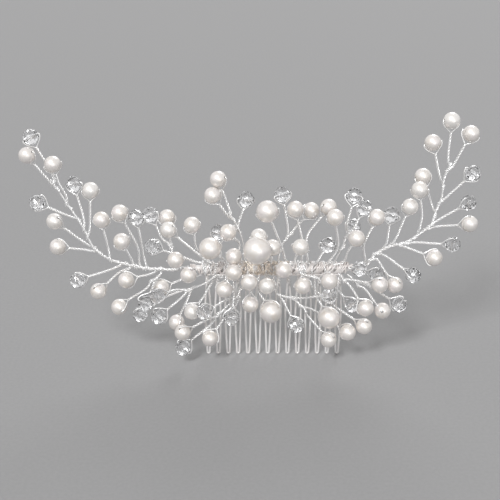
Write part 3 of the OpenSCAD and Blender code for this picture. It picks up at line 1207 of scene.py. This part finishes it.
@dataclass
class ToothRow:
    """The comb itself: hairpin teeth hung on the rail, each with a twisted neck.

    A leg's shape is a row of shares: how far down the leg a place lies, and how far out of the leg's spread.
    """

    node: str = "tooth_wires"
    wire_radius: float = 0.4 * MM
    eye_radius: float = 1.53 * MM
    eye_span: tuple[int, int] = (-48, 228)
    neck_top: float = -2.3 * MM
    neck_bottom: float = -6.4 * MM
    neck_turns: float = 1.75
    neck_steps: int = 44
    leg_spread: float = 1.0 * MM
    leg_shape: tuple[tuple[float, float], ...] = ((0.05, 0.52), (0.16, 0.72), (0.38, 1.0), (0.7, 0.8))
    tip_spread: float = 0.48 * MM
    sway: Vector = field(default_factory=lambda: Vector((0.05 * MM, 0.12 * MM, 0)))
    sway_length: float = 9 * MM
    neck_step: float = 0.5 * MM
    leg_step: float = 1.6 * MM

    def tooth_line(self, x: float, tip: float) -> list[Vector]:
        """One tooth as a closed loop of wire.

        Args:
            x: where the tooth hangs on the rail.
            tip: height of its lowest point.

        Returns:
            The loop's points: over the rail, down the neck, down a leg, round the tip and back.
        """
        over = [math.radians(a) for a in range(self.eye_span[0], self.eye_span[1] + 1, 12)]
        eye = [Vector((x, -math.cos(a) * self.eye_radius, math.sin(a) * self.eye_radius)) for a in over]
        back, front = self._neck(x, 0), self._neck(x, math.pi)
        turn = tip + self.wire_radius + self.tip_spread
        right = self._leg(x, 1, turn)
        left = self._leg(x, -1, turn)
        bottom = [Vector((x + math.cos(a) * self.tip_spread, 0, turn - math.sin(a) * self.tip_spread))
                  for a in map(math.radians, range(20, 161, 20))]
        first, second = (right, left) if back[-1].x > x else (left, right)
        tips = bottom if first is right else bottom[::-1]
        down = smooth_line([eye[-1]] + back[:1], self.neck_step)[1:-1] + back
        up = front[::-1] + smooth_line([front[0], eye[0]], self.neck_step)[1:-1]
        return eye + down + first + tips + second[::-1] + up

    def _neck(self, x: float, start: float) -> list[Vector]:
        """One strand of the twisted neck.

        Args:
            x: where the tooth hangs on the rail.
            start: 0 for the strand that starts behind the rail, half a turn for the one in front.

        Returns:
            Its points, from the eye down.
        """
        row = []
        for k in range(self.neck_steps + 1):
            t = k / self.neck_steps
            turned = t * self.neck_turns * math.tau
            angle = math.pi / 2 + start + turned
            height = self.neck_top + (self.neck_bottom - self.neck_top) * t
            reach = self.wire_radius * (1.0 + 0.1 * math.sin(turned))
            row.append(Vector((x + math.cos(angle) * reach, math.sin(angle) * reach, height)))
        return row

    def _leg(self, x: float, hand: int, turn: float) -> list[Vector]:
        """One leg from under the neck to the start of the tip.

        Args:
            x: where the tooth hangs on the rail.
            hand: 1 for the leg on the right and -1 for the one on the left.
            turn: height at which the tip's bow starts.

        Returns:
            Its points, from the neck down.
        """
        depth = turn - self.neck_bottom
        shares = (*self.leg_shape, (1.0, self.tip_spread / self.leg_spread))
        knots = [Vector((x + hand * w * self.leg_spread, 0, self.neck_bottom + depth * t)) for t, w in shares]
        line = smooth_line(knots, self.leg_step)
        return [p + self.sway * noise.noise(p / self.sway_length) * math.sin(math.pi * i / len(line))
                for i, p in enumerate(line)]

    def build(self, material: bpy.types.Material) -> bpy.types.Object:
        """Bends every tooth.

        Args:
            material: the finish of the comb's wire.

        Returns:
            The piece with all the teeth.
        """
        spool = WireSpool("bent_teeth", sides=8)
        with FrameReader(self.node) as reader:
            for low, high in reader.boxes():
                spool.run(self.tooth_line((low.x + high.x) / 2, low.z), self.wire_radius, closed=True)
        return spool.piece(COMB_BODY, Slot.COMB_WIRE, material, self.node)


@dataclass
class SlantingBand:
    """A band of wires that crosses the rail's front on the slant and swells in its middle."""

    wire_radius: float = 0.25 * MM
    wires: int = 4
    reach: float = 2.0 * MM
    slant: float = 1.9 * MM
    swell: float = 0.3 * MM
    steps: int = 30

    def wind(self, x: float) -> list[list[Vector]]:
        """The wires of one band.

        Args:
            x: where the band passes under the rail, between two teeth.

        Returns:
            One closed turn for each wire.
        """
        spacing = 2 * self.wire_radius / math.cos(math.atan2(self.slant, self.reach))
        turns = []
        for n in range(self.wires):
            across = n - (self.wires - 1) / 2
            loose = noise.cell(Vector((x / MM, n, 0)))
            swell = self.swell * (math.cos(math.pi * across / self.wires) + 0.5 * loose)
            slant = self.slant * (0.95 + 0.1 * loose)
            row = []
            for k in range(self.steps):
                angle = math.tau * k / self.steps
                place = x + across * spacing + slant * (1 + math.sin(angle))
                row.append(round_rail(place, angle, self.reach + swell * (1 + math.sin(angle - 0.5)) / 2))
            turns.append(row)
        return turns


@dataclass
class GiltTangle:
    """Thin gilt wire, wound in loose turns over the middle of the rail."""

    span: tuple[float, float] = (-12.5 * MM, 4.5 * MM)
    turns: int = 36
    wire_radius: float = 0.17 * MM
    slant: float = 2.4 * MM
    wander: float = 0.5 * MM
    loose: float = 0.45 * MM
    steps: int = 30

    def turn(self, number: int, over: float) -> list[Vector]:
        """One loose, slanting turn, unlike the ones beside it.

        Args:
            number: which turn it is, from the left.
            over: radius of what it is wound on.

        Returns:
            The points of the closed turn.
        """
        low, high = self.span
        middle = low + (high - low) * ((number + 0.5) / self.turns)
        slant = self.slant * math.sin(number * 2.4)
        row = []
        for k in range(self.steps):
            angle = math.tau * k / self.steps
            x = middle + slant * math.sin(angle + number)
            x += self.wander * math.sin(3 * angle + number * 2.9)
            lift = self.loose * (1 + math.sin(2 * angle + number * 1.7)) / 2
            row.append(round_rail(x, angle, over + self.wire_radius + lift))
        return row


@dataclass
class Binding:
    """The cord wound along the rail, the bands over it and the tight turns that hold the wings.

    The cord's step to its next turn and its lift over a tooth's eye start at a share of the turn.
    """

    rail_radius: float = 1.1 * MM
    eye_reach: float = 1.93 * MM
    wire_radius: float = 0.25 * MM
    cord_girth: float = 0.44 * MM
    cord_pitch: float = 2.3 * MM
    cord_steps: int = 20
    beside_tooth: float = 0.94 * MM
    end_spacing: float = 1.0 * MM
    end_turns: int = 5
    end_steps: int = 24
    lump: float = 0.15 * MM
    lump_spacing: float = 2.3 * MM
    looseness: float = 0.16 * MM
    step_start: float = 0.26
    lift_start: float = 0.18
    lift_power: float = 0.6
    runner_radius: float = 0.3 * MM
    runner_degrees: float = 238.0
    runner_lift: float = 0.5 * MM
    band: SlantingBand = field(default_factory=SlantingBand)
    gilt: GiltTangle = field(default_factory=GiltTangle)

    def _wraps(self, teeth: list[float], low: float, high: float) -> list[float]:
        """Places along the rail where the cord passes its front.

        Args:
            teeth: places of the teeth, from left to right.
            low: leftmost place that the cord may take.
            high: rightmost place that the cord may take.

        Returns:
            One place for each turn of the cord, from left to right.
        """
        first, last = teeth[0] - self.beside_tooth, teeth[-1] + self.beside_tooth
        left = math.floor((first - low) / self.end_spacing)
        right = math.floor((high - last) / self.end_spacing)
        row = [first - k * self.end_spacing for k in range(left, -1, -1)]
        for a, b in zip(teeth, teeth[1:]):
            row += [a + self.beside_tooth, b - self.beside_tooth]
        return row + [last + k * self.end_spacing for k in range(right + 1)]

    def _cord_line(self, teeth: list[float], wraps: list[float]) -> list[Vector]:
        """The cord's middle line: square turns at the front, with each step to the next one behind the rail.

        Args:
            teeth: places of the teeth.
            wraps: places of the turns.

        Returns:
            Points along the line.
        """
        wound = self.rail_radius + self.cord_girth
        over_eye = self.eye_reach + self.cord_girth
        row = []
        for x, following in zip(wraps, wraps[1:]):
            steps_over = any(x < tooth < following for tooth in teeth)
            swell = self.lump * (1 + math.sin(math.tau * x / self.lump_spacing)) / 2
            for k in range(self.cord_steps):
                turn = k / self.cord_steps
                angle = math.pi * (1 + 2 * turn)
                moved = self._share(turn, self.step_start)
                moved = moved * moved * (3 - 2 * moved)
                place = x + (following - x) * moved
                over = self._share(turn, self.lift_start) if steps_over else 0.0
                lift = math.sin(math.pi * over) ** self.lift_power
                own = round_rail(place, angle, 1.0) * 0.9 / MM + Vector((0, 0, turn * 3))
                loose = noise.noise(own) * self.looseness
                radius = wound + (over_eye - wound) * lift + abs(loose) + swell * (1 - lift)
                row.append(round_rail(place + loose, angle, radius))
        return row

    @staticmethod
    def _share(turn: float, start: float) -> float:
        """How much of a stretch in the middle of a turn is done, if it starts and ends alike."""
        return min(1.0, max(0.0, (turn - start) / (1 - 2 * start)))

    def _runner(self, low: float, high: float) -> list[Vector]:
        """The straight wire that lies along the bands, low on the rail's front.

        Args:
            low: where it starts.
            high: where it ends.

        Returns:
            Points along it, swaying a little.
        """
        steps = math.ceil((high - low) / (0.8 * MM))
        row = []
        for k in range(steps + 1):
            x = low + (high - low) * k / steps
            sway = noise.noise(Vector((x / (3 * MM), 0, 0)))
            reach = self.band.reach + self.runner_lift + 0.2 * MM * sway
            row.append(round_rail(x, math.radians(self.runner_degrees + 6 * sway), reach))
        return row

    def _wind_ends(self, boxes: list[tuple[Vector, Vector]]) -> tuple[WireSpool, list[float]]:
        """Winds the tight turns over the two ends of the rail.

        Args:
            boxes: lowest and highest corner of each turn in the frame.

        Returns:
            The wound wire, and the leftmost and rightmost place that it leaves for the cord.
        """
        ends = WireSpool("end_windings")
        inner = []
        wound = self.rail_radius + self.wire_radius
        steps = (self.end_turns - 1) * self.end_steps
        for hand in (-1, 1):
            mine = [(low, high) for low, high in boxes if (low.x + high.x) * hand > 0]
            start = min(low.x for low, _ in mine) + self.wire_radius
            stop = max(high.x for _, high in mine) - self.wire_radius
            edge = start if hand > 0 else stop
            inner.append(edge - hand * (self.wire_radius + self.cord_girth))
            ends.run([round_rail(start + (stop - start) * k / steps, math.tau * k / self.end_steps, wound)
                      for k in range(steps + 1)], self.wire_radius)
        return ends, inner

    def _wind_rail(self, teeth: list[float], inner: list[float]) -> WireSpool:
        """Winds the cord along the rail, with the bands and the runner over it.

        Args:
            teeth: places of the teeth, from left to right.
            inner: leftmost and rightmost place that the cord may take.

        Returns:
            The wound wire.
        """
        along = WireSpool("rail_winding")
        cord = Route(self._cord_line(teeth, self._wraps(teeth, *inner)), step=0.45 * MM)
        rope = Rope(cord, self.cord_pitch, strands=3, fill=0.46, girth=self.cord_girth, step=0.3 * MM)
        rope.wind(along, 0.0)
        gap = teeth[1] - teeth[0]
        for tooth in [teeth[0] - gap, *teeth[:-1]]:
            under = tooth + gap / 2
            if not self.gilt.span[0] < under + self.band.slant < self.gilt.span[1]:
                for turn in self.band.wind(under):
                    along.run(turn, self.band.wire_radius, closed=True)
        along.run(self._runner(teeth[0], teeth[-1]), self.runner_radius)
        return along

    def build(self, material: bpy.types.Material, gilt: bpy.types.Material) -> list[bpy.types.Object]:
        """Winds the binding.

        Args:
            material: the finish of the binding wire.
            gilt: the finish of the thin loose turns.

        Returns:
            The cord and bands along the rail, the windings at its ends and the loose turns in its middle.
        """
        with FrameReader("tooth_wires") as comb:
            teeth = sorted((low.x + high.x) / 2 for low, high in comb.boxes())
        with FrameReader("end_bindings") as reader:
            ends, inner = self._wind_ends(reader.boxes())
        along = self._wind_rail(teeth, inner)
        loose = WireSpool("gilt_turns")
        for number in range(self.gilt.turns):
            turn = self.gilt.turn(number, self.rail_radius + 2 * self.cord_girth)
            loose.run(turn, self.gilt.wire_radius, closed=True)
        return [along.piece(COMB_BODY, Slot.BINDING_WIRE, material, "rail_binding"),
                ends.piece(COMB_BODY, Slot.BINDING_WIRE, material, "end_bindings"),
                loose.piece(COMB_BODY, Slot.BINDING_WIRE, gilt)]


@dataclass
class WingStem:
    """The bundle of twisted wire that carries one wing of beads."""

    side: str
    pitch: float = 3.4 * MM
    slack: float = 0.78
    phase: float = 0.4
    route: Route = field(init=False)

    def __post_init__(self) -> None:
        """Reads the stem's line, root first."""
        with FrameReader(self.node) as reader:
            self.route = reader.stems()[0].route()

    @property
    def node(self) -> str:
        """Name of the frame node that it stands for."""
        return f"{self.side}_wing_stem"

    def build(self, material: bpy.types.Material) -> bpy.types.Object:
        """Winds the stem as a rope.

        Args:
            material: the finish of the stems' wire.

        Returns:
            The piece.
        """
        spool = WireSpool(f"{self.side}_wing_rope")
        Rope(self.route, self.pitch, slack=self.slack).wind(spool, self.phase)
        return spool.piece(COMB_BODY, Slot.STEM_WIRE, material, self.node)


@dataclass
class Spray:
    """A region of beads with the stems that carry them."""

    region: str
    pearl_radius: float = 3.0 * MM
    bore_radius: float = 0.45 * MM
    loop_room: float = 0.55 * MM
    branch_pitch: float = 2.8 * MM
    branch_phase: float = 1.1
    crystal: CrystalShape = field(default_factory=CrystalShape)
    sites: list[BeadSite] = field(default_factory=list)
    branches: list[Route] = field(default_factory=list)
    accent_stems: list[list[Vector]] = field(default_factory=list)

    def read(self) -> None:
        """Finds this region's branches and beads in the frame."""
        with FrameReader(f"{self.region}_wires") as reader:
            stems = reader.stems()
        for stem in stems:
            if stem.is_bundle:
                self.branches.append(stem.route())
            elif stem.holds_bead:
                self.sites.append(self._site(stem))
            else:
                self.accent_stems.append([r.centre for r in stem.rings])

    def _site(self, stem: TracedStem) -> BeadSite:
        """Works out a bead from the rings of its wire.

        Args:
            stem: a traced wire, whose last six rings are the loop round the bead.

        Returns:
            The bead's place, with the stem up to its loop.
        """
        *run, _, _, near, far, _, _ = stem.rings
        span = near.centre - far.centre
        half_hole = span.length / 2 - self.loop_room
        middle = (self.crystal.half_length + self.pearl_radius) / 2
        kind = BeadKind.PEARL if half_hole > middle else BeadKind.CRYSTAL
        return BeadSite(kind, (near.centre + far.centre) / 2, span.normalized(), [r.centre for r in run])

    def build(self, finishes: Finishes, anchors: list[Anchor]) -> list[bpy.types.Object]:
        """Makes the region's wires, pearls and crystals.

        Args:
            finishes: the shared materials.
            anchors: everything in the comb that a stem may be wound on.

        Returns:
            The finished pieces.
        """
        spool = WireSpool(f"{self.region}_twists")
        for number, route in enumerate(self.branches):
            Rope(route, self.branch_pitch).wind(spool, number * self.branch_phase)
        sizes = {BeadKind.PEARL: (self.pearl_radius, self.pearl_radius),
                 BeadKind.CRYSTAL: (self.crystal.radius, self.crystal.half_length)}
        for site in self.sites:
            anchor = nearest_anchor(site.stem[0], anchors)
            spool.run(BeadWire(site, anchor, *sizes[site.kind]).line(), Twist.wire_radius)
        pearl = PearlShape(self.pearl_radius, self.bore_radius)
        return [spool.piece(COMB_BODY, Slot.STEM_WIRE, finishes.stem_wire, f"{self.region}_wires"),
                self._beads(BeadKind.PEARL, pearl.template(), Slot.PEARL, finishes.pearl),
                self._beads(BeadKind.CRYSTAL, self.crystal.template(), Slot.CRYSTAL, finishes.crystal)]

    def _beads(self, kind: BeadKind, template: bpy.types.Mesh, slot: Slot,
               material: bpy.types.Material) -> bpy.types.Object:
        """Makes one kind of bead in this region as a piece.

        Args:
            kind: pearls or crystals.
            template: one bead of that kind.
            slot: the record's material slot.
            material: the beads' finish.

        Returns:
            The piece.
        """
        noun = f"{kind.value}s"
        name = f"{self.region}_drilled_{noun}"
        mesh = strew(template, [s for s in self.sites if s.kind is kind], name)
        return finish_piece(name, mesh, COMB_BODY, slot, material, f"{self.region}_{noun}")


@dataclass
class AccentPearls:
    """The larger pearls, each free to turn on the wire through its hole."""

    bore_radius: float = 0.33 * MM
    play: float = 0.12 * MM
    sites: dict[str, BeadSite] = field(default_factory=dict)

    def read(self, stems: list[list[Vector]]) -> None:
        """Matches each turning pearl with the stem that carries it.

        Args:
            stems: the centre lines of the stems that end beside an accent pearl.
        """
        for joint in frame["joints"]:
            centre, hole = Vector(joint["pos_m"]), Vector(joint["axis"]).normalized()
            ends = [(min((s[0] - centre).length, (s[-1] - centre).length), i) for i, s in enumerate(stems)]
            stem = stems[min(ends)[1]]
            if (stem[0] - centre).length < (stem[-1] - centre).length:
                stem = stem[::-1]
            self.sites[joint["child"]] = BeadSite(BeadKind.ACCENT, centre, hole, stem)

    @staticmethod
    def radius(body: str) -> float:
        """Radius of one of the pearls."""
        low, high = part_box(body)
        return max(high - low) / 2

    def build(self, finishes: Finishes, anchors: list[Anchor]) -> list[bpy.types.Object]:
        """Makes the pearls on their bodies and the wires that they turn on.

        Args:
            finishes: the shared materials.
            anchors: everything that a stem may be wound on.

        Returns:
            The finished pieces.
        """
        spool = WireSpool("accent_settings")
        pieces = []
        for body, site in self.sites.items():
            radius = self.radius(body)
            anchor = nearest_anchor(site.stem[0], anchors)
            spool.run(BeadWire(site, anchor, radius, radius + self.play).line(), Twist.wire_radius)
            shape = PearlShape(radius, self.bore_radius, segments=40, rings=26)
            name = f"{body}_drilled"
            mesh = strew(shape.template(), [site], name)
            pieces.append(finish_piece(name, mesh, body, Slot.PEARL, finishes.pearl, body))
        pieces.append(spool.piece(COMB_BODY, Slot.STEM_WIRE, finishes.stem_wire, "accent_loops"))
        return pieces


@dataclass(frozen=True)
class Lamp:
    """A far, wide lamp that faces the comb.

    Its spread is how wide it looks from the comb, in degrees, and its strength is in watts per square metre.
    """

    name: str
    place: tuple[float, float, float]
    spread: float
    strength: float


@dataclass
class Studio:
    """Pale floor, soft light and the camera."""

    look_at: Vector = field(default_factory=lambda: Vector((-8.64, 2.69, 6.05)) * MM)
    elevation: float = math.radians(24)
    distance: float = 400 * MM
    sensor: float = 36.0
    lens: float = 78.3
    floor_radius: float = 3.0
    backdrop: float = 1.0
    backdrop_tone: tuple[float, float, float, float] = (0.87, 0.87, 0.875, 1)
    fill_level: float = 0.38
    fill_tone: tuple[float, float, float, float] = (1.0, 0.99, 0.97, 1)
    lamps: tuple[Lamp, ...] = (Lamp("key_light", (-0.35, -0.7, 0.8), 16, 1.45),
                               Lamp("fill_light", (0.3, -0.9, 0.22), 40, 0.5),
                               Lamp("rim_light", (0.2, 0.8, 0.5), 24, 0.65))

    def build(self) -> None:
        """Sets up everything round the comb."""
        self._floor()
        self._world()
        for lamp in self.lamps:
            self._light(lamp)
        self._camera()

    def _floor(self) -> None:
        """A round board under the tips of the teeth."""
        bm = bmesh.new()
        bmesh.ops.create_circle(bm, cap_ends=True, segments=64, radius=self.floor_radius)
        bmesh.ops.translate(bm, verts=bm.verts[:], vec=(0, 0, CAD_BOX[0].z))
        mesh = mesh_from(bm, "floor")
        mesh.materials.append(PaleFloor("pale_board").material())
        link_object("floor", mesh)

    def _world(self) -> None:
        """Soft light from all round, with a pale backdrop for the camera, glossy and clear surfaces."""
        world = bpy.data.worlds.new("studio")
        world.use_nodes = True
        bpy.context.scene.world = world
        nodes, links = world.node_tree.nodes, world.node_tree.links
        seen, soft = nodes["Background"], nodes.new("ShaderNodeBackground")
        seen.inputs["Color"].default_value = self.backdrop_tone
        seen.inputs["Strength"].default_value = self.backdrop
        soft.inputs["Color"].default_value = self.fill_tone
        soft.inputs["Strength"].default_value = self.fill_level
        path = nodes.new("ShaderNodeLightPath")
        total = path.outputs["Is Camera Ray"]
        for name in ("Is Glossy Ray", "Is Transmission Ray"):
            add = nodes.new("ShaderNodeMath")
            add.operation = "MAXIMUM"
            links.new(total, add.inputs[0])
            links.new(path.outputs[name], add.inputs[1])
            total = add.outputs[0]
        mix = nodes.new("ShaderNodeMixShader")
        links.new(total, mix.inputs[0])
        links.new(soft.outputs[0], mix.inputs[1])
        links.new(seen.outputs[0], mix.inputs[2])
        links.new(mix.outputs[0], nodes["World Output"].inputs["Surface"])

    @staticmethod
    def _stand(name: str, data: bpy.types.ID, place: Vector, target: Vector) -> bpy.types.Object:
        """Stands a lamp or camera at a place and points it at a target.

        Args:
            name: the object's name.
            data: the lamp or camera.
            place: where it stands.
            target: what it faces.

        Returns:
            The object.
        """
        holder = link_object(name, data)
        holder.location = place
        holder.rotation_mode = "QUATERNION"
        holder.rotation_quaternion = (target - holder.location).to_track_quat("-Z", "Y")
        return holder

    def _light(self, lamp: Lamp) -> None:
        """Adds one lamp.

        Args:
            lamp: its name, place, spread and strength.
        """
        light = bpy.data.lights.new(lamp.name, "SUN")
        light.angle = math.radians(lamp.spread)
        light.energy = lamp.strength
        self._stand(lamp.name, light, Vector(lamp.place), Vector())

    def _camera(self) -> None:
        """Puts the camera a little above the comb, in front of it."""
        lens = bpy.data.cameras.new("camera")
        lens.sensor_width = self.sensor
        lens.lens = self.lens
        lens.clip_start = 0.01
        away = Vector((0, -math.cos(self.elevation), math.sin(self.elevation)))
        place = self.look_at + away * self.distance
        bpy.context.scene.camera = self._stand("camera", lens, place, self.look_at)


def dress_rail(material: bpy.types.Material) -> None:
    """Gives the rail of the frame its finish.

    Args:
        material: the finish of the comb's wire.
    """
    rail = frame["nodes"]["top_rail"]
    rail.data.materials.clear()
    rail.data.materials.append(material)


def main() -> None:
    """Builds the comb's pieces in order and sets the stage."""
    logging.basicConfig(level=logging.INFO, format="%(name)s: %(message)s")
    noise.seed_set(HAND_SEED)
    finishes = Finishes.make()
    dress_rail(finishes.comb_wire)
    ToothRow().build(finishes.comb_wire)
    Binding().build(finishes.binding_wire, finishes.gilt_wire)
    wings = [WingStem("left"), WingStem("right")]
    for wing in wings:
        wing.build(finishes.stem_wire)
    sprays = [Spray(region) for region in REGIONS]
    for spray in sprays:
        spray.read()
    low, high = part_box("top_rail")
    bundles = [wing.route for wing in wings] + [route for spray in sprays for route in spray.branches]
    anchors: list[Anchor] = [RailAnchor((high.x - low.x) / 2)] + [BundleAnchor(route) for route in bundles]
    for spray in sprays:
        spray.build(finishes, anchors)
    accents = AccentPearls()
    accents.read([stem for spray in sprays for stem in spray.accent_stems])
    accents.build(finishes, anchors)
    Studio().build()
    bpy.context.scene.view_settings.view_transform = "Standard"


if __name__ == "__main__":
    main()
